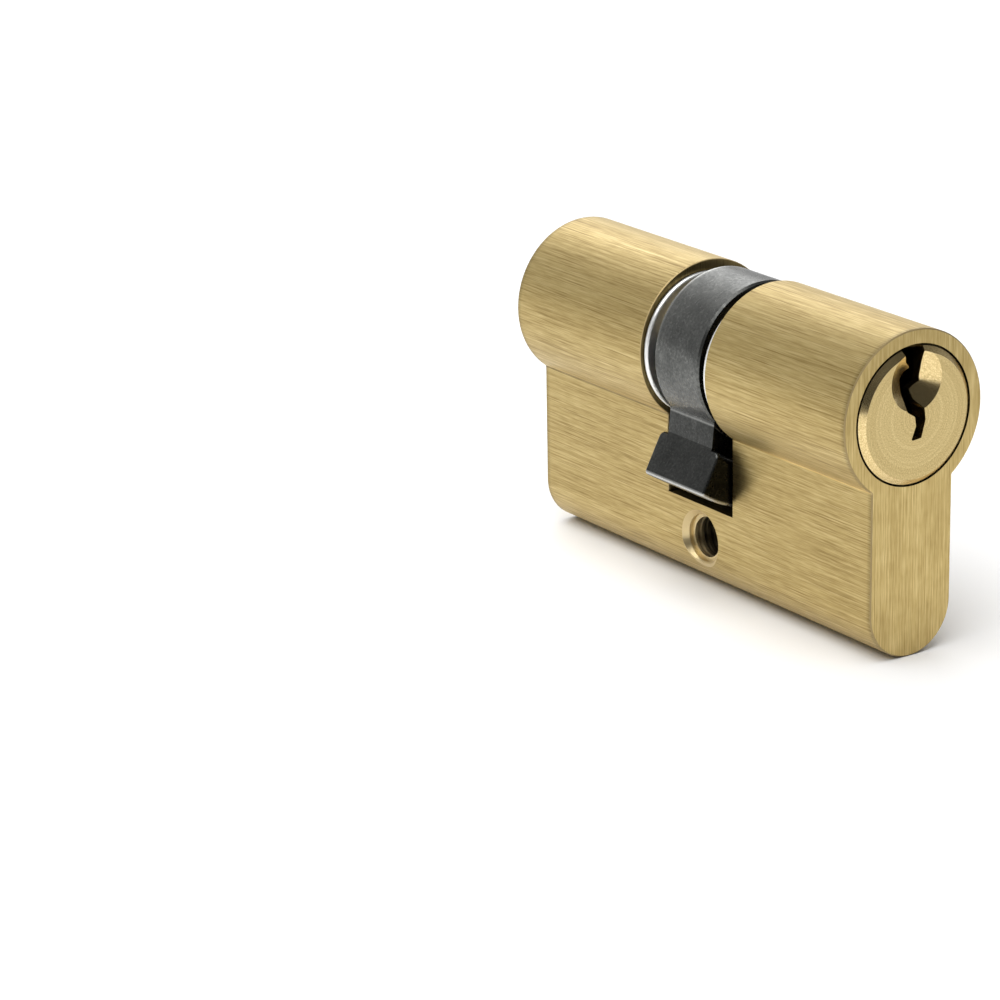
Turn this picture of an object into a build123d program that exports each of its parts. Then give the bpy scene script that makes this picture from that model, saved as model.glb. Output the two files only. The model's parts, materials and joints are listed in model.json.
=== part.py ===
from build123d import *
from math import radians, sqrt, tan
import os

# Double euro-profile lock cylinder, 54 mm long (27 + 27), all sizes in millimetres.
#
# Frame: origin at the centre of the M5 fixing-screw hole in the fin, +Y along the plugs from the
# front end to the rear end, +Z from the fin up to the round head, +X to the right seen from the front.
# Front and rear halves are the same pieces turned half a turn about Z.

# ---------------------------------------------------------------- driving dimensions: housing
BODY_LENGTH = 54.0
HEAD_RADIUS = 8.5
FIN_WIDTH = 10.0
FIN_ROOT_RADIUS = 0.3               # hollow between the head and the fin
PROFILE_HEIGHT = 33.0
AXIS_Z = 18.9                       # plug axis above the fixing screw
END_CHAMFER = 0.12
SLOT_WIDTH = 10.6                   # gap for the cam, along the plugs
SLOT_FLOOR_RADIUS = 15.15           # slot floor below the plug axis
SLOT_CHAMFER = 0.1

SCREW_MINOR_RADIUS = 2.1            # M5 x 0.8 fixing screw
THREAD_PITCH = 0.8
THREAD_DEPTH = 0.38
THREAD_ROOT_HALF_WIDTH = 0.32
THREAD_CREST_HALF_WIDTH = 0.06
THREAD_OVERLAP = 0.3                # how far the thread cutter reaches inside the bore
THREAD_TURNS = 15
THREAD_START_ANGLE = 17.0
SCREW_LEAD_RADIUS = 2.5             # unthreaded lead-in at each mouth
SCREW_LEAD_DEPTH = 0.95
SCREW_SINK_RADIUS = 3.05

# ---------------------------------------------------------------- driving dimensions: plugs
PLUG_RADIUS = 6.45
PLUG_BORE_RADIUS = 6.5
FLANGE_RADIUS = 6.86
FLANGE_BORE_RADIUS = 7.06
FLANGE_DEPTH = 1.1                  # counterbore in the housing's end
FLANGE_PLAY = 0.05                  # behind the flange, in the counterbore
FACE_STAND_OUT = 0.5                # plug face in front of the housing's end
FACE_RADIUS = 6.25                  # flat face inside the bevel
SHOULDER_Y = 3.9                    # inner end of the full-size plug, from the middle
NOSE_RADIUS = 5.15
NOSE_END_Y = 1.9
COUPLER_SLOT_WIDTH = 3.0
COUPLER_SLOT_END_Y = 4.65

GUIDE_RADIUS = 3.1                  # drill-point lead-in around the keyway
GUIDE_DEPTH = 1.85
GUIDE_X = -0.1
GUIDE_RISE = 3.6

# Keyway outline seen from the front: x, and height above the plug axis. Left wall from the open top
# down to the tip of the blade slot, then the right wall back up.
KEYWAY_OUTLINE = [
    (-1.85, 7.4),
    (-1.45, 6.2),
    (-0.95, 5.4),
    (0.0, 4.6),
    (-1.3, 3.6),
    (-1.4, 2.4),
    (-1.2, 0.6),
    (-0.25, 0.0),
    (-0.1, -0.95),
    (-0.7, -2.35),
    (0.57, -2.25),
    (1.08, -0.5),
    (0.92, 0.65),
    (0.0, 1.6),
    (-0.12, 2.45),
    (1.1, 3.1),
    (1.15, 4.4),
    (0.9, 6.2),
    (1.05, 7.4),
]
KEYWAY_CORNER_RADIUS = 0.16

# ---------------------------------------------------------------- driving dimensions: retaining clips
CLIP_OUTER_RADIUS = 7.5
CLIP_OFFSET_X = -0.7                # the outer edge is eccentric, so the back of the clip is its widest part
CLIP_INNER_RADIUS = 5.65
CLIP_GROOVE_RADIUS = 5.6
CLIP_THICKNESS = 0.6
CLIP_INNER_Y = 4.6
CLIP_GROOVE_PLAY = 0.05
CLIP_MOUTH_HALF_ANGLE = 32.0
CLIP_CORNER_RADIUS = 0.3
CLIP_EDGE_RADIUS = 0.26             # rolled outer edges

# ---------------------------------------------------------------- driving dimensions: cam
CAM_RING_RADIUS = 8.15
CAM_RING_WIDTH = 7.2
CAM_SHIFT_Y = -0.15                 # rests towards the front within its end play
CAM_BORE_RADIUS = 5.2
CAM_WEB_WIDTH = 3.0                 # inner web that the couplers drive
DRIVE_SLOT_RADIUS = 5.1             # ends of the web's slot
CAM_EDGE_CHAMFER = 0.2
LOBE_WIDTH = 9.7
LOBE_TIP_RADIUS = 15.0
LOBE_WIDE_FROM_RADIUS = 10.3
LOBE_ANGLE = 19.5                   # from straight down towards -X
LOBE_ROOT_HALF_WIDTH = 3.9
LOBE_WAIST_HALF_WIDTH = 3.3
LOBE_WAIST_DROP = 9.7               # below the plug axis, inside the wide part
LOBE_TIP_HALF_WIDTH = 4.0
LOBE_SHOULDER_RADIUS = 0.7
LOBE_TIP_CORNER_RADIUS = 0.4
LOBE_EDGE_RADIUS = 0.3

# ---------------------------------------------------------------- driving dimensions: couplers
COUPLER_RADIUS = 5.0
COUPLER_WIDTH = 2.9
COUPLER_THICKNESS = 2.8
FRONT_COUPLER_Y = -3.1              # front face, engaged in the cam's web
REAR_COUPLER_Y = 1.4                # front face, drawn back out of the web
COUPLER_CHAMFER = 0.3
THRUST_PIN_RADIUS = 0.9
THRUST_PIN_PLAY = 0.02

# ---------------------------------------------------------------- driving dimensions: pin stacks
PIN_COUNT = 5
FIRST_PIN_FROM_END = 4.5
PIN_PITCH = 3.6
PIN_RADIUS = 1.45
CHAMBER_RADIUS = 1.5
CHAMBER_TOP_RISE = 2.3              # blind end of the plug's pin holes, above the axis
KEY_PIN_TOP_RISES = [-1.6, -0.4, -1.0, 0.2, -0.8]
KEY_PIN_BOTTOM_DROP = 6.38
KEY_PIN_POINT_HEIGHT = 1.0
KEY_PIN_POINT_RADIUS = 0.45
PIN_CHAMFER = 0.3
DRIVER_TOP_DROP = 6.54
DRIVER_LENGTH = 5.6
SPOOLED_DRIVERS = (2, 4)            # these drivers have a waist against picking
SPOOL_WAIST_RADIUS = 0.95
SPOOL_WAIST_LENGTH = 2.6
SPRING_MEAN_RADIUS = 1.15
SPRING_WIRE_RADIUS = 0.17
SPRING_TURNS = 9
SPRING_END_GAP = 0.05
CHAMBER_PLUG_RADIUS = 1.49
CHAMBER_PLUG_LENGTH = 2.2           # to the lowest line of the fin

# ---------------------------------------------------------------- working margins
CUT_MARGIN = 1.0                    # how far a cutter runs past what it cuts
SAME_PLACE = 0.01                   # tolerance for finding edges

# ---------------------------------------------------------------- derived places
FIN_BOTTOM_Z = AXIS_Z + HEAD_RADIUS - PROFILE_HEIGHT
FOOT_Z = FIN_BOTTOM_Z + FIN_WIDTH / 2
END_Y = BODY_LENGTH / 2
FACE_Y = END_Y + FACE_STAND_OUT
SLOT_FLOOR_Z = AXIS_Z - SLOT_FLOOR_RADIUS
SLOT_WALL_Y = SLOT_WIDTH / 2
PIN_YS = [-(END_Y - FIRST_PIN_FROM_END - i * PIN_PITCH) for i in range(PIN_COUNT)]
CHAMBER_PLUG_TOP_Z = FIN_BOTTOM_Z + CHAMBER_PLUG_LENGTH
DRIVER_BOTTOM_Z = AXIS_Z - DRIVER_TOP_DROP - DRIVER_LENGTH


# ---------------------------------------------------------------- helpers
def rod_y(radius, y_from, y_to):
    """Round bar on the plug axis, between two places along it."""
    return Pos(0, (y_from + y_to) / 2, AXIS_Z) * Rot(90, 0, 0) * Cylinder(radius, y_to - y_from)


def rod_z(radius, y, z_from, z_to):
    """Upright round bar in the middle plane, between two heights."""
    return Pos(0, y, (z_from + z_to) / 2) * Cylinder(radius, z_to - z_from)


def slab(x_from, x_to, y_from, y_to, z_from, z_to):
    """Box between two corners."""
    middle = Pos((x_from + x_to) / 2, (y_from + y_to) / 2, (z_from + z_to) / 2)
    return middle * Box(x_to - x_from, y_to - y_from, z_to - z_from)


def turned_y(outline):
    """Turned piece on the plug axis, from an outline of (y, radius) points."""
    section = Plane.YZ * Polygon([(y, radius) for y, radius in outline], align=None)
    return Pos(0, 0, AXIS_Z) * revolve(section, Axis.Y, 360)


def along_y(sketch, y_from, y_to):
    """Sketch of (x, height above the plug axis), made solid between two places along the plugs."""
    plane = Plane(origin=(0, y_to, AXIS_Z), x_dir=(1, 0, 0), z_dir=(0, -1, 0))
    return extrude(plane * sketch, y_to - y_from)


def as_front(shape):
    """A front piece stays where it is modelled."""
    return shape


def to_rear(shape):
    """The same piece at the other end of the cylinder."""
    return Rot(0, 0, 180) * shape


def edges_on_y_plane(shape, y, above_z):
    """Edges that lie in the plane at y, with their middle above a height."""
    found = []
    for edge in shape.edges():
        box = edge.bounding_box()
        flat = abs(box.min.Y - y) < SAME_PLACE and abs(box.max.Y - y) < SAME_PLACE
        if flat and (edge @ 0.5).Z > above_z:
            found.append(edge)
    return found


# ---------------------------------------------------------------- housing
def profile_bar(y_from, y_to):
    """Length of the housing's outer profile."""
    head = Circle(HEAD_RADIUS)
    fin_height = AXIS_Z - FOOT_Z
    fin = Pos(0, -fin_height / 2) * Rectangle(FIN_WIDTH, fin_height)
    foot = Pos(0, -fin_height) * Circle(FIN_WIDTH / 2)
    outline = head + fin + foot
    fin_root = outline.vertices().group_by(Axis.Y)[-1]
    return along_y(fillet(fin_root, FIN_ROOT_RADIUS), y_from, y_to)


def screw_thread_cutter():
    """Threaded bore across the fin, longer than the fin is wide."""
    length = THREAD_TURNS * THREAD_PITCH
    helix = Helix(pitch=THREAD_PITCH, height=length, radius=SCREW_MINOR_RADIUS)
    groove = Polygon(
        (-THREAD_OVERLAP, -THREAD_ROOT_HALF_WIDTH),
        (THREAD_DEPTH, -THREAD_CREST_HALF_WIDTH),
        (THREAD_DEPTH, THREAD_CREST_HALF_WIDTH),
        (-THREAD_OVERLAP, THREAD_ROOT_HALF_WIDTH),
        align=None,
    )
    start = Plane(origin=helix @ 0, x_dir=(1, 0, 0), z_dir=helix % 0)
    thread = Rot(0, 0, THREAD_START_ANGLE) * sweep(start * groove, path=helix, is_frenet=True)
    bore = Cylinder(SCREW_MINOR_RADIUS, length + 2 * CUT_MARGIN)
    return Rot(0, 90, 0) * (bore + Pos(0, 0, -length / 2) * thread)


def screw_mouth_cutter(side):
    """Countersink and unthreaded lead-in of the screw hole on one side of the fin."""
    sink_depth = SCREW_SINK_RADIUS - SCREW_LEAD_RADIUS
    narrow = SCREW_LEAD_RADIUS - CUT_MARGIN
    wide = SCREW_SINK_RADIUS + CUT_MARGIN
    sink = Pos(0, 0, (FIN_WIDTH - sink_depth) / 2) * Cone(narrow, wide, sink_depth + 2 * CUT_MARGIN)
    lead = Pos(0, 0, (FIN_WIDTH - SCREW_LEAD_DEPTH) / 2) * Cylinder(SCREW_LEAD_RADIUS, SCREW_LEAD_DEPTH)
    return Rot(0, side * 90, 0) * (sink + lead)


def cylinder_body():
    """Brass housing with the cam slot, the plug bores, the pin chambers and the screw hole."""
    body = profile_bar(-END_Y, END_Y)
    for end in (-1, 1):
        body = chamfer(edges_on_y_plane(body, end * END_Y, FIN_BOTTOM_Z), END_CHAMFER)
    reach = HEAD_RADIUS + CUT_MARGIN
    body -= slab(-reach, reach, -SLOT_WALL_Y, SLOT_WALL_Y, SLOT_FLOOR_Z, AXIS_Z + reach)
    for wall in (-1, 1):
        edges = edges_on_y_plane(body, wall * SLOT_WALL_Y, SLOT_FLOOR_Z + SAME_PLACE)
        body = chamfer(edges, SLOT_CHAMFER)
    body -= rod_y(PLUG_BORE_RADIUS, -END_Y - CUT_MARGIN, END_Y + CUT_MARGIN)
    for at_end in (as_front, to_rear):
        body -= at_end(rod_y(FLANGE_BORE_RADIUS, -END_Y - CUT_MARGIN, -END_Y + FLANGE_DEPTH))
        for y in PIN_YS:
            body -= at_end(rod_z(CHAMBER_RADIUS, y, FIN_BOTTOM_Z - CUT_MARGIN, AXIS_Z))
    body -= screw_thread_cutter()
    for side in (-1, 1):
        body -= screw_mouth_cutter(side)
    return body


def chamber_plug(y):
    """Brass plug pressed into the lower end of a pin chamber, dressed flush with the round foot."""
    blank = rod_z(CHAMBER_PLUG_RADIUS, y, FIN_BOTTOM_Z - CUT_MARGIN, CHAMBER_PLUG_TOP_Z)
    return blank & profile_bar(y - CHAMBER_RADIUS, y + CHAMBER_RADIUS)


# ---------------------------------------------------------------- plugs
def keyway_cutter():
    """Warded keyway through the whole plug, open at the top."""
    outline = Polygon(KEYWAY_OUTLINE, align=None)
    corners = [v for v in outline.vertices() if v.Y < PLUG_BORE_RADIUS]
    outline = fillet(corners, KEYWAY_CORNER_RADIUS)
    return along_y(outline, -FACE_Y - CUT_MARGIN, -NOSE_END_Y + CUT_MARGIN)


def front_plug():
    """Turned brass plug with its keyway, pin holes, clip groove and coupler slot."""
    flange_back_y = -END_Y + FLANGE_DEPTH - FLANGE_PLAY
    groove_outer_y = CLIP_INNER_Y + CLIP_THICKNESS + CLIP_GROOVE_PLAY
    groove_inner_y = CLIP_INNER_Y - CLIP_GROOVE_PLAY
    plug = turned_y([
        (-FACE_Y, 0),
        (-FACE_Y, FACE_RADIUS),
        (-END_Y, FLANGE_RADIUS),
        (flange_back_y, FLANGE_RADIUS),
        (flange_back_y, PLUG_RADIUS),
        (-groove_outer_y, PLUG_RADIUS),
        (-groove_outer_y, CLIP_GROOVE_RADIUS),
        (-groove_inner_y, CLIP_GROOVE_RADIUS),
        (-groove_inner_y, PLUG_RADIUS),
        (-SHOULDER_Y, PLUG_RADIUS),
        (-SHOULDER_Y, NOSE_RADIUS),
        (-NOSE_END_Y, NOSE_RADIUS),
        (-NOSE_END_Y, 0),
    ])
    for y in PIN_YS:
        plug -= rod_z(CHAMBER_RADIUS, y, AXIS_Z - PLUG_RADIUS - CUT_MARGIN, AXIS_Z + CHAMBER_TOP_RISE)
    half_slot = COUPLER_SLOT_WIDTH / 2
    reach = PLUG_RADIUS + CUT_MARGIN
    plug -= slab(-reach, reach, -COUPLER_SLOT_END_Y, 0, AXIS_Z - half_slot, AXIS_Z + half_slot)
    guide_length = GUIDE_DEPTH + CUT_MARGIN
    guide = Cone(GUIDE_RADIUS * guide_length / GUIDE_DEPTH, 0, guide_length)
    guide_middle_y = -FACE_Y - CUT_MARGIN + guide_length / 2
    plug -= Pos(GUIDE_X, guide_middle_y, AXIS_Z + GUIDE_RISE) * Rot(-90, 0, 0) * guide
    plug -= keyway_cutter()
    return plug


def front_clip():
    """Open spring-steel ring in the plug's groove; its mouth faces +X."""
    ring = Pos(CLIP_OFFSET_X, 0) * Circle(CLIP_OUTER_RADIUS) - Circle(CLIP_INNER_RADIUS)
    mouth_x = 2 * HEAD_RADIUS
    mouth_half_height = mouth_x * tan(radians(CLIP_MOUTH_HALF_ANGLE))
    mouth = Polygon((0, 0), (mouth_x, mouth_half_height), (mouth_x, -mouth_half_height), align=None)
    outline = ring - mouth
    outline = fillet(outline.vertices(), CLIP_CORNER_RADIUS)
    clip = along_y(outline, -CLIP_INNER_Y - CLIP_THICKNESS, -CLIP_INNER_Y)
    arcs = clip.edges().filter_by(GeomType.CIRCLE)
    rim = [arc for arc in arcs if arc.radius > CLIP_OUTER_RADIUS - SAME_PLACE]
    return fillet(rim, CLIP_EDGE_RADIUS)


# ---------------------------------------------------------------- cam and couplers
def lobe_outline():
    """Driving lobe pointing straight down: a waist between the ring and the round tip."""
    root_depth = -sqrt(CAM_RING_RADIUS ** 2 - LOBE_ROOT_HALF_WIDTH ** 2)
    tip_depth = -sqrt(LOBE_TIP_RADIUS ** 2 - LOBE_TIP_HALF_WIDTH ** 2)
    left = Polyline(
        (0, 0),
        (-LOBE_ROOT_HALF_WIDTH, root_depth),
        (-LOBE_WAIST_HALF_WIDTH, -LOBE_WAIST_DROP),
        (-LOBE_TIP_HALF_WIDTH, tip_depth),
    )
    tip = ThreePointArc(left @ 1, (0, -LOBE_TIP_RADIUS), (LOBE_TIP_HALF_WIDTH, tip_depth))
    return make_face([left, tip, mirror(left, Plane.YZ)])


def wide_band():
    """Full circle of the lobe's wide part: rounded at its shoulders and at its tip."""
    section = Pos(0, (LOBE_WIDE_FROM_RADIUS + LOBE_TIP_RADIUS) / 2)
    section *= Rectangle(LOBE_WIDTH, LOBE_TIP_RADIUS - LOBE_WIDE_FROM_RADIUS)
    inner, outer = section.vertices().group_by(Axis.Y)
    section = fillet(inner, LOBE_SHOULDER_RADIUS)
    section = fillet(section.vertices().group_by(Axis.Y)[-1], LOBE_TIP_CORNER_RADIUS)
    return Pos(0, 0, AXIS_Z) * revolve(Plane.YZ * section, Axis.Y, 360)


def cam():
    """Sintered cam: ring on the plugs' noses, inner web for the couplers, wide driving lobe."""
    ring_front = -CAM_RING_WIDTH / 2
    ring_rear = CAM_RING_WIDTH / 2
    outline = lobe_outline()
    lobe = along_y(outline, -LOBE_WIDTH, LOBE_WIDTH) & wide_band()
    flanks = lobe.faces().filter_by(GeomType.PLANE).sort_by(Axis.X)
    lobe = fillet(flanks[0].edges() + flanks[-1].edges(), LOBE_EDGE_RADIUS)
    neck = along_y(outline, ring_front, ring_rear)
    neck &= rod_y(LOBE_WIDE_FROM_RADIUS + CUT_MARGIN, ring_front, ring_rear)
    ring = rod_y(CAM_RING_RADIUS, ring_front, ring_rear)
    ring = chamfer(ring.edges().filter_by(GeomType.CIRCLE), CAM_EDGE_CHAMFER)
    shape = ring + neck + lobe
    half_web = CAM_WEB_WIDTH / 2
    shape -= rod_y(CAM_BORE_RADIUS, ring_front - CUT_MARGIN, -half_web)
    shape -= rod_y(CAM_BORE_RADIUS, half_web, ring_rear + CUT_MARGIN)
    about_axis = Axis((0, 0, AXIS_Z), (0, 1, 0))
    shape = shape.rotate(about_axis, LOBE_ANGLE)
    half_slot = COUPLER_SLOT_WIDTH / 2
    drive = rod_y(DRIVE_SLOT_RADIUS, -CAM_WEB_WIDTH, CAM_WEB_WIDTH)
    drive &= slab(-HEAD_RADIUS, HEAD_RADIUS, ring_front, ring_rear, AXIS_Z - half_slot, AXIS_Z + half_slot)
    return Pos(0, CAM_SHIFT_Y, 0) * (shape - drive)


def coupler(y_front):
    """Steel driving bar that slides in a plug's end slot and drops into the cam's web."""
    y_back = y_front + COUPLER_THICKNESS
    half = COUPLER_WIDTH / 2
    bar = rod_y(COUPLER_RADIUS, y_front, y_back)
    bar &= slab(-COUPLER_RADIUS, COUPLER_RADIUS, y_front, y_back, AXIS_Z - half, AXIS_Z + half)
    return chamfer(bar.edges().filter_by(GeomType.CIRCLE), COUPLER_CHAMFER)


def coupler_thrust_pin():
    """Short pin on the front coupler that passes its push to the rear one."""
    y_from = FRONT_COUPLER_Y + COUPLER_THICKNESS
    return rod_y(THRUST_PIN_RADIUS, y_from, REAR_COUPLER_Y - THRUST_PIN_PLAY)


# ---------------------------------------------------------------- pin stacks
def key_pin(y, top_rise):
    """Brass key pin: pointed tip in the keyway, flat foot at the shear line."""
    bottom = AXIS_Z - KEY_PIN_BOTTOM_DROP
    shank_top = AXIS_Z + top_rise - KEY_PIN_POINT_HEIGHT
    shank = rod_z(PIN_RADIUS, y, bottom, shank_top)
    shank = chamfer(shank.edges().filter_by(GeomType.CIRCLE).sort_by(Axis.Z)[0], PIN_CHAMFER)
    point = Cone(PIN_RADIUS, KEY_PIN_POINT_RADIUS, KEY_PIN_POINT_HEIGHT)
    return shank + Pos(0, y, shank_top + KEY_PIN_POINT_HEIGHT / 2) * point


def driver_pin(y, spooled):
    """Steel driver pin under the shear line; a spooled one has a waist."""
    top = AXIS_Z - DRIVER_TOP_DROP
    pin = rod_z(PIN_RADIUS, y, DRIVER_BOTTOM_Z, top)
    pin = chamfer(pin.edges().filter_by(GeomType.CIRCLE), PIN_CHAMFER)
    if spooled:
        middle = (top + DRIVER_BOTTOM_Z) / 2
        half = SPOOL_WAIST_LENGTH / 2
        waist = rod_z(PIN_RADIUS + CUT_MARGIN, y, middle - half, middle + half)
        waist -= rod_z(SPOOL_WAIST_RADIUS, y, middle - half, middle + half)
        pin -= waist
    return pin


def pin_spring(y):
    """Compression spring between the chamber plug and the driver pin."""
    bottom = CHAMBER_PLUG_TOP_Z + SPRING_END_GAP + SPRING_WIRE_RADIUS
    top = DRIVER_BOTTOM_Z - SPRING_END_GAP - SPRING_WIRE_RADIUS
    helix = Helix(pitch=(top - bottom) / SPRING_TURNS, height=top - bottom, radius=SPRING_MEAN_RADIUS)
    section = Plane(origin=helix @ 0, z_dir=helix % 0) * Circle(SPRING_WIRE_RADIUS)
    return Pos(0, y, bottom) * sweep(section, path=helix, is_frenet=True)


# ---------------------------------------------------------------- the whole cylinder
def all_pieces():
    """Every piece by its node name."""
    plug = front_plug()
    clip = front_clip()
    pieces = {
        "cylinder_body": cylinder_body(),
        "front_plug": plug,
        "rear_plug": to_rear(plug),
        "front_clip": clip,
        "rear_clip": mirror(clip, Plane.XZ),
        "cam": cam(),
        "front_coupler": coupler(FRONT_COUPLER_Y),
        "rear_coupler": coupler(REAR_COUPLER_Y),
        "coupler_thrust_pin": coupler_thrust_pin(),
    }
    for end, at_end in (("front", as_front), ("rear", to_rear)):
        for i, y in enumerate(PIN_YS, start=1):
            pieces[f"{end}_key_pin_{i}"] = at_end(key_pin(y, KEY_PIN_TOP_RISES[i - 1]))
            pieces[f"{end}_driver_pin_{i}"] = at_end(driver_pin(y, i in SPOOLED_DRIVERS))
            pieces[f"{end}_pin_spring_{i}"] = at_end(pin_spring(y))
            pieces[f"{end}_chamber_plug_{i}"] = at_end(chamber_plug(y))
    return pieces


os.makedirs("parts", exist_ok=True)
for node, shape in all_pieces().items():
    export_step(shape, f"parts/{node}.step")
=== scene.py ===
import json
from math import cos, radians, sin
import bpy
from mathutils import Matrix, Vector


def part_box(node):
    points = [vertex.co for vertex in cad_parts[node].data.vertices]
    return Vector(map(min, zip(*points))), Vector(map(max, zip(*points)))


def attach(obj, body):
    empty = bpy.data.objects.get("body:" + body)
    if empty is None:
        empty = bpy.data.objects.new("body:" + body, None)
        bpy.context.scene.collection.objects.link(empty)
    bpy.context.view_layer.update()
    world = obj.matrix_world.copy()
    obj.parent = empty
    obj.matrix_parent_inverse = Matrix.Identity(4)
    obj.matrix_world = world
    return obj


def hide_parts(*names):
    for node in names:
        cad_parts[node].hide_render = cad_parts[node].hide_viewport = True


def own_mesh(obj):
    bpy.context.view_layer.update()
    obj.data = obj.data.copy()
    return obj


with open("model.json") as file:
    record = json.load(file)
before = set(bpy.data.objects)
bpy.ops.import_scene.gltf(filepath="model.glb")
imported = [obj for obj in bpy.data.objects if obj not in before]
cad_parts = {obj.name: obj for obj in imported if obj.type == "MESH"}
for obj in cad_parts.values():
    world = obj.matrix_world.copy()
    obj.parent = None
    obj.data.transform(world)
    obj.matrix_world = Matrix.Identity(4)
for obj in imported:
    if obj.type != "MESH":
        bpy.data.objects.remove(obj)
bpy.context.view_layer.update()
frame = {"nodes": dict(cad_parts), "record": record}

# ---------------------------------------------------------------- places, in metres
MM = 0.001
AXIS_Z = 18.9 * MM                  # plug axis above the origin
HOUSING_LOW, HOUSING_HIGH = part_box("cylinder_body")
FLOOR_Z = HOUSING_LOW.z
FLANGE_BORE = 7.06 * MM             # radius of the housing's counterbores
FLANGE = 6.86 * MM                  # radius of the plugs' flanges
FIN_ROOT = 12.0 * MM                # height of the corner between head and fin
SLOT_WALL = 5.3 * MM                # walls of the cam slot, each way from the middle
SLOT_FLOOR = 3.75 * MM              # height of the cam slot's floor
GUIDE_END = 25.6 * MM               # inner end of the keyway's lead-in, from the middle
FACE = 6.2 * MM                     # radius inside the plug's bevel
PINS_EACH_END = 5
SCREW_SINK = 3.05 * MM              # outer radius of the screw hole's countersinks
SCREW_HOLE_SHADE = (2.6 * MM, 4.1 * MM)   # painted shade in the screw hole, lifting from the first to the second, from its middle
FIN_SIDE = (4.9 * MM, 4.95 * MM)    # start of the fin's flat sides, from the middle
ROOT_PAINTED_LINE = (0.08 * MM, 0.16 * MM)  # half width of the painted light and shade line in the fin's root, and where it has faded
ROOT_HIGHLIGHT_BAND = (0.1 * MM, 0.9 * MM)  # painted highlight band over that line
END_SHADE = 0.7 * MM                # darker strip next to each end face
LOBE_START = (8.2 * MM, 8.3 * MM)   # radius where the cam's ring ends and the lobe begins
LOBE_ROOT_HIGHLIGHT = 8.36 * MM                  # painted highlight line at the lobe's root
LOBE_ROOT_HIGHLIGHT_WIDTH = 0.13 * MM
TIP_HIGHLIGHT_START = (14.6 * MM, 14.8 * MM)   # radius where the painted highlight on the lobe's tip edge begins
TIP_FACE = (14.93 * MM, 14.98 * MM)  # radius of the tip's own face, where that painted highlight is fainter
REAR_RIM_HIGHLIGHT = (2.9 * MM, 3.2 * MM)     # painted highlight on the rear edge of the cam's ring

# ---------------------------------------------------------------- camera, as the photograph was taken
CAMERA_AIM = Vector((-29.45, 0.0, 9.19)) * MM
CAMERA_AZIMUTH = -34.12             # degrees from straight ahead, towards -X
CAMERA_ELEVATION = 18.63
CAMERA_DISTANCE = 374.4 * MM
CAMERA_ROLL = -1.06
CAMERA_LENS = 138.3
SENSOR_WIDTH = 36.0

# ---------------------------------------------------------------- grey levels of the room
ROOM_FRONT = 0.06
ROOM_BACK = 0.62
ROOM_SEEN = 0.9                     # where the camera looks straight at it

# ---------------------------------------------------------------- floor
FLOOR_HALF = 3.0
FLOOR_COLOUR = (0.93, 0.93, 0.93, 1)
FLOOR_ROUGHNESS = 0.7

# ---------------------------------------------------------------- colours and brushing
WHITE = (1, 1, 1, 1)
CHAMFER_BRASS = (0.54, 0.41, 0.20, 1)
SINK_BRASS = (0.66, 0.53, 0.29, 1)
BEVEL_PAINTED_SHEEN = (1.32, 1.32, 1.40, 1)   # painted sheen: brightening of the bevel and the lead-in
# colour of the cam's painted highlights
STEEL_HIGHLIGHT = (0.50, 0.50, 0.48, 1)
FINE_LINES = (7.0, 0.07)            # cycles per millimetre across and along the brushing
SHORT_LINES = (7.0, 0.45)
SCRATCHES = (8.0, 0.12)


# ---------------------------------------------------------------- camera, floor and lights
def add_camera():
    """Long lens on the photograph's side of the object."""
    azimuth = radians(CAMERA_AZIMUTH)
    elevation = radians(CAMERA_ELEVATION)
    towards = Vector((-sin(azimuth) * cos(elevation), cos(azimuth) * cos(elevation), -sin(elevation)))
    data = bpy.data.cameras.new("camera")
    data.lens = CAMERA_LENS
    data.sensor_width = SENSOR_WIDTH
    data.clip_start = 0.01
    camera = bpy.data.objects.new("camera", data)
    bpy.context.scene.collection.objects.link(camera)
    turn = towards.to_track_quat("-Z", "Y").to_matrix().to_4x4()
    roll = Matrix.Rotation(radians(CAMERA_ROLL), 4, "Z")
    camera.matrix_world = Matrix.Translation(CAMERA_AIM - towards * CAMERA_DISTANCE) @ turn @ roll
    bpy.context.scene.camera = camera


def add_area_light(name, place, aim, size, power, colour=(1, 1, 1)):
    """Rectangular soft box at a place, facing a point."""
    data = bpy.data.lights.new(name, "AREA")
    data.shape = "RECTANGLE"
    data.size = size[0]
    data.size_y = size[1]
    data.energy = power
    data.color = colour
    light = bpy.data.objects.new(name, data)
    bpy.context.scene.collection.objects.link(light)
    light.location = place
    light.rotation_euler = (Vector(aim) - Vector(place)).to_track_quat("-Z", "Y").to_euler()


def add_lights():
    """Soft box overhead and a second one behind the object."""
    middle = (0, 0, AXIS_Z)
    add_area_light("overhead_box", (-0.35, -0.10, 1.00), middle, (1.20, 1.20), 15.5)
    add_area_light("back_box", (0.24, 0.58, 0.36), middle, (0.55, 0.26), 0.95)


def add_surroundings():
    """Studio room: pale behind the object, dim in front of it, plain pale where the camera looks."""
    world = bpy.data.worlds.new("studio")
    bpy.context.scene.world = world
    world.use_nodes = True
    tree = world.node_tree
    direction = tree.nodes.new("ShaderNodeTexCoord").outputs["Generated"]
    parts = tree.nodes.new("ShaderNodeSeparateXYZ")
    tree.links.new(direction, parts.inputs[0])
    grey = tree.nodes.new("ShaderNodeMapRange")
    tree.links.new(parts.outputs[1], grey.inputs[0])
    for i, number in enumerate((-0.5, 0.5, ROOM_FRONT, ROOM_BACK), start=1):
        grey.inputs[i].default_value = number
    seen = tree.nodes.new("ShaderNodeLightPath").outputs["Is Camera Ray"]
    level = tree.nodes.new("ShaderNodeMix")
    tree.links.new(seen, level.inputs[0])
    tree.links.new(grey.outputs[0], level.inputs[2])
    level.inputs[3].default_value = ROOM_SEEN
    tree.links.new(level.outputs[0], tree.nodes["Background"].inputs["Color"])


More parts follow.
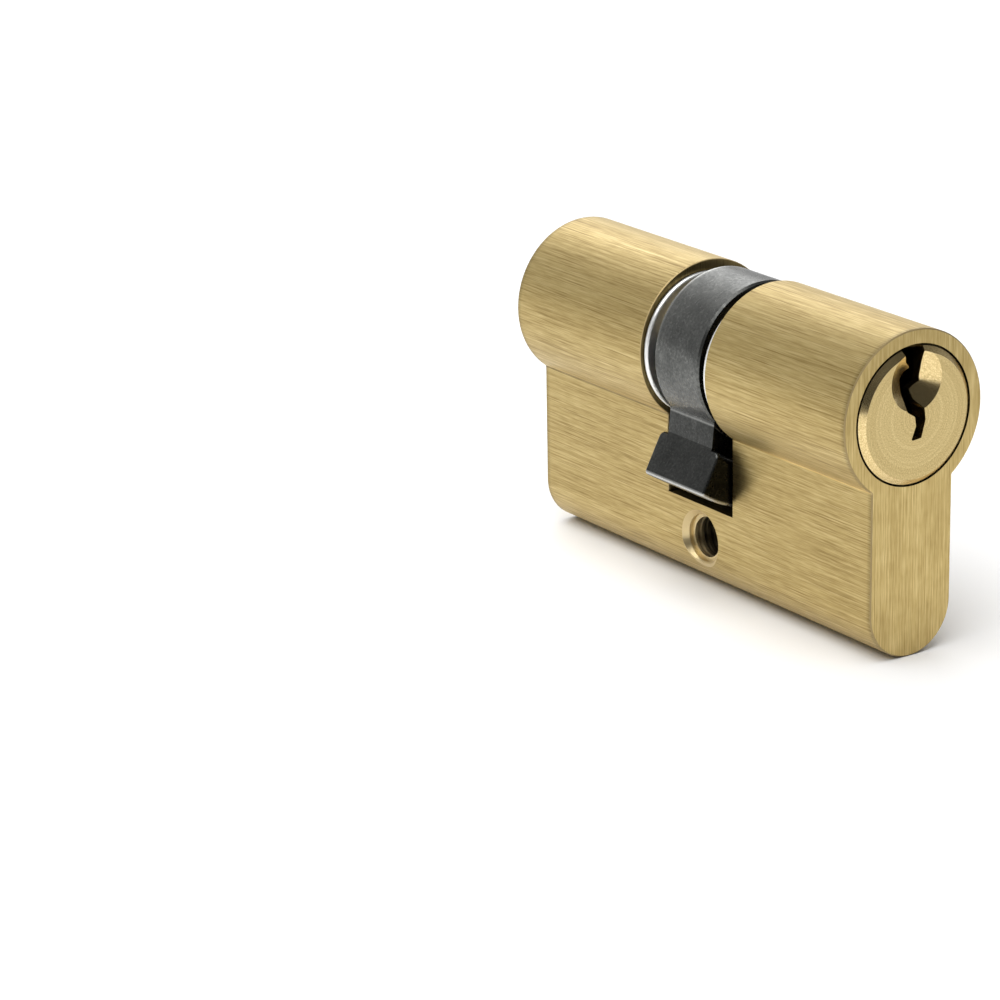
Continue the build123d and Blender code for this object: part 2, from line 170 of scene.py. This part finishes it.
def add_floor():
    """Wide pale table top under the fin's foot."""
    mesh = bpy.data.meshes.new("floor")
    corners = [(x * FLOOR_HALF, y * FLOOR_HALF, FLOOR_Z) for x, y in ((-1, -1), (1, -1), (1, 1), (-1, 1))]
    mesh.from_pydata(corners, [], [(0, 1, 2, 3)])
    floor = bpy.data.objects.new("floor", mesh)
    bpy.context.scene.collection.objects.link(floor)
    material = bpy.data.materials.new("floor_white")
    material.use_nodes = True
    shader = material.node_tree.nodes["Principled BSDF"]
    shader.inputs["Base Color"].default_value = FLOOR_COLOUR
    shader.inputs["Roughness"].default_value = FLOOR_ROUGHNESS
    mesh.materials.append(material)


# ---------------------------------------------------------------- material building blocks
class Maker:
    """Shorthand for building one material's nodes."""

    def __init__(self, name):
        self.material = bpy.data.materials.new(name)
        self.material.use_nodes = True
        self.tree = self.material.node_tree
        self.shader = self.tree.nodes["Principled BSDF"]
        coordinates = self.tree.nodes.new("ShaderNodeTexCoord")
        self.place = coordinates.outputs["Object"]
        self.normal = coordinates.outputs["Normal"]

    def node(self, kind, **settings):
        made = self.tree.nodes.new(kind)
        for key, value in settings.items():
            setattr(made, key, value)
        return made

    def feed(self, socket, value):
        """Connect a socket, or set its value."""
        if isinstance(value, bpy.types.NodeSocket):
            self.tree.links.new(value, socket)
        else:
            socket.default_value = value

    def xyz(self, vector):
        """The three numbers of a vector."""
        made = self.node("ShaderNodeSeparateXYZ")
        self.feed(made.inputs[0], vector)
        return made.outputs[0], made.outputs[1], made.outputs[2]

    def math(self, operation, a, b=0.0, clamp=False):
        made = self.node("ShaderNodeMath", operation=operation, use_clamp=clamp)
        self.feed(made.inputs[0], a)
        self.feed(made.inputs[1], b)
        return made.outputs[0]

    def size_of(self, value):
        """A number without its sign."""
        return self.math("ABSOLUTE", value)

    def weighted(self, *terms):
        """Sum of (value, weight) pairs."""
        total = self.math("MULTIPLY", *terms[0])
        for term in terms[1:]:
            total = self.math("ADD", total, self.math("MULTIPLY", *term))
        return total

    def scaled(self, source, factors):
        """Coordinates times a factor along each axis, in cycles per millimetre."""
        made = self.node("ShaderNodeVectorMath", operation="MULTIPLY")
        self.feed(made.inputs[0], source)
        made.inputs[1].default_value = [f / MM for f in factors]
        return made.outputs[0]

    def noise(self, factors, detail=2.0, source=None):
        """Noise with its own number of cycles per millimetre along each axis."""
        made = self.node("ShaderNodeTexNoise")
        self.feed(made.inputs["Vector"], self.scaled(source or self.place, factors))
        made.inputs["Scale"].default_value = 1.0
        made.inputs["Detail"].default_value = detail
        return made.outputs["Fac"]

    def ramp(self, factor, stops):
        """Colour ramp from (position, colour) stops."""
        made = self.node("ShaderNodeValToRGB")
        elements = made.color_ramp.elements
        while len(elements) < len(stops):
            elements.new(0.5)
        for element, (position, colour) in zip(elements, stops):
            element.position = position
            element.color = (*colour, 1)
        self.feed(made.inputs["Fac"], factor)
        return made.outputs["Color"]

    def span(self, value, low, high, to_low, to_high):
        """Linear map of a value, held at its ends."""
        made = self.node("ShaderNodeMapRange")
        for i, number in enumerate((value, low, high, to_low, to_high)):
            self.feed(made.inputs[i], number)
        return made.outputs[0]

    def mix(self, share, a, b, blend="MIX"):
        """Colour between two, the second one's share given."""
        made = self.node("ShaderNodeMix", data_type="RGBA", blend_type=blend)
        self.feed(made.inputs[0], share)
        self.feed(made.inputs[6], a)    # colour sockets A and B, and the colour result
        self.feed(made.inputs[7], b)
        return made.outputs[2]

    def times(self, a, b):
        """Product of two colours."""
        return self.mix(1.0, a, b, blend="MULTIPLY")

    def facing_y(self):
        """How squarely the surface faces along the plugs, 0 to 1."""
        return self.size_of(self.xyz(self.normal)[1])

    def length(self, vector):
        made = self.node("ShaderNodeVectorMath", operation="LENGTH")
        self.feed(made.inputs[0], vector)
        return made.outputs["Value"]

    def from_plug_axis(self):
        """Distance from the plug axis."""
        about = self.node("ShaderNodeVectorMath", operation="MULTIPLY_ADD")
        self.feed(about.inputs[0], self.place)
        about.inputs[1].default_value = (1, 0, 1)
        about.inputs[2].default_value = (0, 0, -AXIS_Z)
        return self.length(about.outputs[0])

    def from_screw_axis(self):
        """Distance from the screw hole's axis."""
        across = self.node("ShaderNodeVectorMath", operation="MULTIPLY")
        self.feed(across.inputs[0], self.place)
        across.inputs[1].default_value = (0, 1, 1)
        return self.length(across.outputs[0])

    def painted_housing_shade(self):
        """Painted shade in the housing's recesses: the plug gap, the cam slot and deep in the screw hole.
        """
        x, y, z = self.xyz(self.place)
        gap_edge = (FLANGE_BORE - 0.02 * MM, FLANGE_BORE + 0.01 * MM)
        gap = self.span(self.from_plug_axis(), *gap_edge, 0.12, 1.0)
        slot = self.span(self.size_of(y), SLOT_WALL + 0.01 * MM, SLOT_WALL + 0.06 * MM, 0.35, 1.0)
        hole = self.span(self.from_screw_axis(), SCREW_SINK, SCREW_SINK + 0.05 * MM, 0.0, 1.0)
        depth_shade = self.span(self.size_of(x), *SCREW_HOLE_SHADE, 0.12, 1.0)
        below_slot = self.span(z, SLOT_FLOOR - 0.03 * MM, SLOT_FLOOR - 0.01 * MM, 1.0, 0.0)
        in_slot = self.math("MAXIMUM", slot, below_slot)
        return self.math("MULTIPLY", self.math("MULTIPLY", gap, in_slot), self.math("MAXIMUM", hole, depth_shade))

    def fin_root_painted_light(self):
        """Corner between head and fin, with a painted highlight band over it.

        The corner is a thin painted line: a painted highlight at the front and painted shade at the rear.
        """
        x, y, z = self.xyz(self.place)
        height = self.math("SUBTRACT", z, FIN_ROOT)
        line = self.span(self.size_of(height), *ROOT_PAINTED_LINE, 1.0, 0.0)
        outside = self.span(self.size_of(x), *FIN_SIDE, 0.0, 1.0)
        # painted highlight band just above the corner
        highlight_band = self.span(height, *ROOT_HIGHLIGHT_BAND, 1.18, 1.0)
        above = self.span(height, 0.0, ROOT_HIGHLIGHT_BAND[0], 0.0, 1.0)
        tone = self.mix(above, WHITE, highlight_band)
        # the corner line as a painted highlight at the front and painted shade at the rear
        line_light_and_shade = self.span(y, -0.5 * SLOT_WALL, 0.5 * SLOT_WALL, 1.45, 0.62)
        return self.mix(outside, WHITE, self.mix(line, tone, line_light_and_shade))

    def edge_shade(self):
        """Slightly darker sides next to the end faces."""
        along = self.size_of(self.xyz(self.place)[1])
        return self.span(along, HOUSING_HIGH.y - END_SHADE, HOUSING_HIGH.y, 1.0, 0.62)

    def bump(self, height, strength, depth_mm):
        made = self.node("ShaderNodeBump")
        made.inputs["Strength"].default_value = strength
        made.inputs["Distance"].default_value = depth_mm * MM
        self.feed(made.inputs["Height"], height)
        self.feed(self.shader.inputs["Normal"], made.outputs[0])


# ---------------------------------------------------------------- materials
def brushed_brass():
    """Satin brass brushed along the profile, and upright on the end faces."""
    m = Maker("brushed_brass")
    facing_y = m.facing_y()
    end_face = m.span(facing_y, 0.78, 0.9, 0.0, 1.0)

    def brushing(cycles, detail):
        across, along = cycles
        sides = m.noise((across, along, across), detail)
        ends = m.noise((across, across, along), detail)
        return m.mix(end_face, sides, ends)

    fine = brushing(FINE_LINES, 3.0)
    scratch = brushing(SCRATCHES, 1.0)
    short = brushing(SHORT_LINES, 2.0)
    broad = m.noise((0.5, 0.05, 0.5), 2.0)
    streak = m.weighted((fine, 0.5), (short, 0.35), (broad, 0.15))
    colour = m.ramp(streak, [
        (0.34, (0.37, 0.265, 0.098)),
        (0.50, (0.50, 0.375, 0.152)),
        (0.66, (0.65, 0.515, 0.245)),
    ])
    darkening = m.ramp(scratch, [(0.56, (1.0, 1.0, 1.0)), (0.72, (0.70, 0.66, 0.58))])
    darkening = m.mix(m.math("MULTIPLY", end_face, 0.5), darkening, WHITE)
    chamfer = m.math("SUBTRACT", m.span(facing_y, 0.45, 0.6, 0.0, 1.0), end_face)
    sink = m.span(m.from_screw_axis(), SCREW_SINK - 0.02 * MM, SCREW_SINK, 1.0, 0.0)
    colour = m.mix(chamfer, m.times(colour, darkening), CHAMFER_BRASS)
    colour = m.mix(sink, colour, SINK_BRASS)
    # painted light and shade: the end faces lighter low down, darker towards the top
    end_face_painted_light = m.span(m.xyz(m.place)[2], FIN_ROOT, HOUSING_HIGH.z, 1.06, 0.84)
    colour = m.times(colour, m.mix(end_face, WHITE, end_face_painted_light))
    # painted light and shade in the corner between head and fin
    colour = m.times(colour, m.fin_root_painted_light())
    colour = m.times(colour, m.mix(end_face, m.edge_shade(), WHITE))
    # painted shade in the plug gap, the cam slot and the screw hole
    colour = m.times(colour, m.painted_housing_shade())
    m.feed(m.shader.inputs["Base Color"], colour)
    m.feed(m.shader.inputs["Roughness"], m.span(streak, 0.35, 0.65, 0.46, 0.34))
    m.shader.inputs["Metallic"].default_value = 1.0
    m.shader.inputs["Anisotropic"].default_value = 0.8
    m.shader.inputs["Anisotropic Rotation"].default_value = 0.25
    along = m.node("ShaderNodeCombineXYZ")
    m.feed(along.inputs[1], m.math("SUBTRACT", 1.0, end_face))
    m.feed(along.inputs[2], end_face)
    about_screw = m.node("ShaderNodeVectorMath", operation="CROSS_PRODUCT")
    about_screw.inputs[0].default_value = (1 / MM, 0, 0)
    m.feed(about_screw.inputs[1], m.place)
    m.feed(m.shader.inputs["Tangent"], m.mix(sink, along.outputs[0], about_screw.outputs[0]))
    m.bump(fine, 0.12, 0.01)
    return m.material


def turned_brass():
    """Lathe-turned brass with fine rings about the plug axis."""
    m = Maker("turned_brass")
    radius = m.from_plug_axis()
    y = m.xyz(m.place)[1]
    ring_place = m.node("ShaderNodeCombineXYZ")
    m.feed(ring_place.inputs[0], radius)
    m.feed(ring_place.inputs[1], y)
    rings = m.noise((5.0, 5.0, 1.0), 3.0, ring_place.outputs[0])
    grain = m.noise((8.0, 8.0, 8.0), 3.0)
    tone = m.weighted((rings, 0.3), (grain, 0.7))
    colour = m.ramp(tone, [
        (0.34, (0.42, 0.31, 0.125)),
        (0.50, (0.56, 0.43, 0.195)),
        (0.66, (0.71, 0.575, 0.29)),
    ])
    flat_face = m.span(m.facing_y(), 0.90, 0.98, 0.0, 1.0)
    # painted shade on the flange's outer wall, in the gap round the plug
    gap_shade = m.span(radius, FLANGE - 0.03 * MM, FLANGE - 0.01 * MM, 1.0, 0.15)
    # painted sheen: the bevel and the keyway's lead-in brightened
    bevel_sheen = m.mix(flat_face, BEVEL_PAINTED_SHEEN, WHITE)
    # painted shade deep in the keyway
    depth_shade = m.span(m.size_of(y), GUIDE_END - 0.2 * MM, GUIDE_END, 0.2, 1.0)
    keyway_shade = m.math("MAXIMUM", depth_shade, m.span(radius, FACE, FACE + 0.05 * MM, 0.0, 1.0))
    colour = m.times(m.times(colour, bevel_sheen), m.math("MULTIPLY", gap_shade, keyway_shade))
    m.feed(m.shader.inputs["Base Color"], colour)
    rough = m.span(tone, 0.35, 0.65, 0.40, 0.28)
    m.feed(m.shader.inputs["Roughness"], m.math("MULTIPLY", rough, m.span(flat_face, 0.0, 1.0, 0.6, 1.0)))
    m.shader.inputs["Metallic"].default_value = 1.0
    m.bump(tone, 0.15, 0.01)
    return m.material


def sintered_steel():
    """Dark sintered steel, black-oxidised, with a fine mottle; painted shade on its side faces and lobe,
    painted highlights on its edges.
    """
    m = Maker("sintered_steel")
    mottle = m.noise((3.5, 3.5, 3.5), 4.0)
    cloud = m.noise((0.35, 0.35, 0.35), 2.0)
    tone = m.weighted((mottle, 0.6), (cloud, 0.4))
    colour = m.ramp(tone, [
        (0.36, (0.075, 0.077, 0.073)),
        (0.52, (0.115, 0.117, 0.111)),
        (0.68, (0.175, 0.177, 0.168)),
    ])
    # painted shade: faces along the plugs darkened, down in the slot's shadow
    colour = m.times(colour, m.span(m.facing_y(), 0.8, 0.95, 1.0, 0.3))
    radius = m.from_plug_axis()
    # painted shade: the lobe darker than the ring
    colour = m.times(colour, m.span(radius, *LOBE_START, 1.0, 0.5))
    # painted highlight along the lobe's root
    from_root_highlight = m.size_of(m.math("SUBTRACT", radius, LOBE_ROOT_HIGHLIGHT))
    root_highlight = m.math("SUBTRACT", 1.0, m.math("DIVIDE", from_root_highlight, LOBE_ROOT_HIGHLIGHT_WIDTH))
    # painted highlight on the edge of the lobe's tip
    near_tip = m.span(radius, *TIP_HIGHLIGHT_START, 0.0, 1.0)
    tip_highlight = m.math("MULTIPLY", near_tip, m.span(radius, *TIP_FACE, 1.0, 0.12))
    y, z = m.xyz(m.place)[1:]
    # painted highlight on the upper half of the ring's rear edge, brighter towards the top
    behind = m.span(y, *REAR_RIM_HIGHLIGHT, 0.0, 1.0)
    rim_highlight = m.math("MULTIPLY", behind, m.span(z, AXIS_Z, HOUSING_HIGH.z, 0.0, 0.9))
    # painted highlights of the cam: root line, tip edge and rear rim
    painted_highlights = m.math("MAXIMUM", m.math("MULTIPLY", root_highlight, 0.4, clamp=True), m.math("MAXIMUM", tip_highlight, rim_highlight))
    m.feed(m.shader.inputs["Base Color"], m.mix(painted_highlights, colour, STEEL_HIGHLIGHT))
    m.feed(m.shader.inputs["Roughness"], m.span(mottle, 0.3, 0.7, 0.35, 0.25))
    m.shader.inputs["Metallic"].default_value = 1.0
    m.bump(mottle, 0.25, 0.01)
    return m.material


def plain_metal(name, dark, light, roughness, cycles):
    """Small metal piece with a fine surface grain."""
    m = Maker(name)
    grain = m.noise((cycles, cycles, cycles), 3.0)
    m.feed(m.shader.inputs["Base Color"], m.ramp(grain, [(0.35, dark), (0.65, light)]))
    m.feed(m.shader.inputs["Roughness"], m.span(grain, 0.3, 0.7, roughness + 0.06, roughness - 0.06))
    m.shader.inputs["Metallic"].default_value = 1.0
    m.bump(grain, 0.2, 0.01)
    return m.material


def paint_nodes():
    """Give every CAD node the material of its slot."""
    materials = {
        "brushed_brass": brushed_brass(),
        "turned_brass": turned_brass(),
        "sintered_steel": sintered_steel(),
        "bright_steel": plain_metal("bright_steel", (0.78, 0.79, 0.77), (0.92, 0.92, 0.90), 0.42, 0.6),
        "hardened_steel": plain_metal("hardened_steel", (0.25, 0.25, 0.25), (0.45, 0.45, 0.45), 0.35, 5.0),
        "pin_brass": plain_metal("pin_brass", (0.55, 0.42, 0.20), (0.75, 0.60, 0.33), 0.25, 5.0),
        "pin_steel": plain_metal("pin_steel", (0.45, 0.45, 0.45), (0.65, 0.65, 0.65), 0.28, 5.0),
        "spring_steel": plain_metal("spring_steel", (0.5, 0.5, 0.5), (0.7, 0.7, 0.7), 0.3, 5.0),
        "plug_brass": plain_metal("plug_brass", (0.45, 0.33, 0.16), (0.62, 0.48, 0.25), 0.35, 4.0),
    }
    for subpart in frame["record"]["subparts"]:
        node = frame["nodes"][subpart["node"]]
        node.data.materials.clear()
        node.data.materials.append(materials[subpart["material_slot"]])


def add_springs():
    """Copies of the CAD pin springs, hung on the housing in place of the hidden originals."""
    for end in ("front", "rear"):
        for number in range(1, PINS_EACH_END + 1):
            node = f"{end}_pin_spring_{number}"
            rigid = frame["nodes"][node]
            spring = bpy.data.objects.new(f"{end}_coil_spring_{number}", rigid.data.copy())
            bpy.context.scene.collection.objects.link(spring)
            spring.matrix_world = rigid.matrix_world.copy()
            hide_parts(node)
            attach(spring, "housing")
            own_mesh(spring)


# ---------------------------------------------------------------- the scene
bpy.context.scene.view_settings.view_transform = "Standard"
add_camera()
add_lights()
add_surroundings()
add_floor()
paint_nodes()
add_springs()
